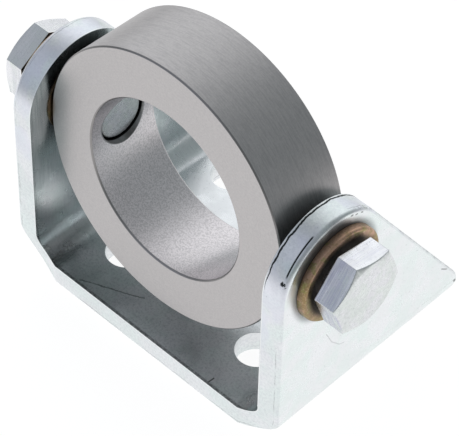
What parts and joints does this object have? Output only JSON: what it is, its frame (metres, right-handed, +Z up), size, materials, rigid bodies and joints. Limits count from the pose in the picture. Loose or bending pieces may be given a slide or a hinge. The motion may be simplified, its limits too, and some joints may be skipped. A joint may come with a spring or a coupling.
{
  "type": "cylinder swivel mount",
  "caption": "Folded sheet bracket whose ears carry a turned ring on shouldered hexagon screws in flanged bushes, so that a cylinder held in the ring can swivel.",
  "frame": {"origin": "underside of the base, straight below the swivel axis and midway between the ears", "axes": "+X along the swivel axis towards the right ear, +Y from the bracket's upright front edges towards its back edge, +Z up"},
  "size_m": [0.1018, 0.061, 0.0844],
  "materials": {
    "plated_sheet": "bright zinc plating on rolled sheet",
    "plated_screw": "bright zinc plating with drawn streaks along the flats",
    "turned_ring": "fine turned, satin",
    "bronze": "dull sintered bronze"
  },
  "bodies": {
    "bracket": {"bracket": "plated_sheet", "left_flanged_bush": "bronze", "right_flanged_bush": "bronze", "left_thrust_washer": "bronze", "right_thrust_washer": "bronze"},
    "ring": {"swivel_ring": "turned_ring", "left_shoulder_screw": "plated_screw", "right_shoulder_screw": "plated_screw"}
  },
  "joints": [
    {"name": "ring_swivel", "type": "hinge", "parent": "bracket", "child": "ring", "pos_m": [0, 0, 0.049], "axis": [1, 0, 0], "continuous": true}
  ]
}
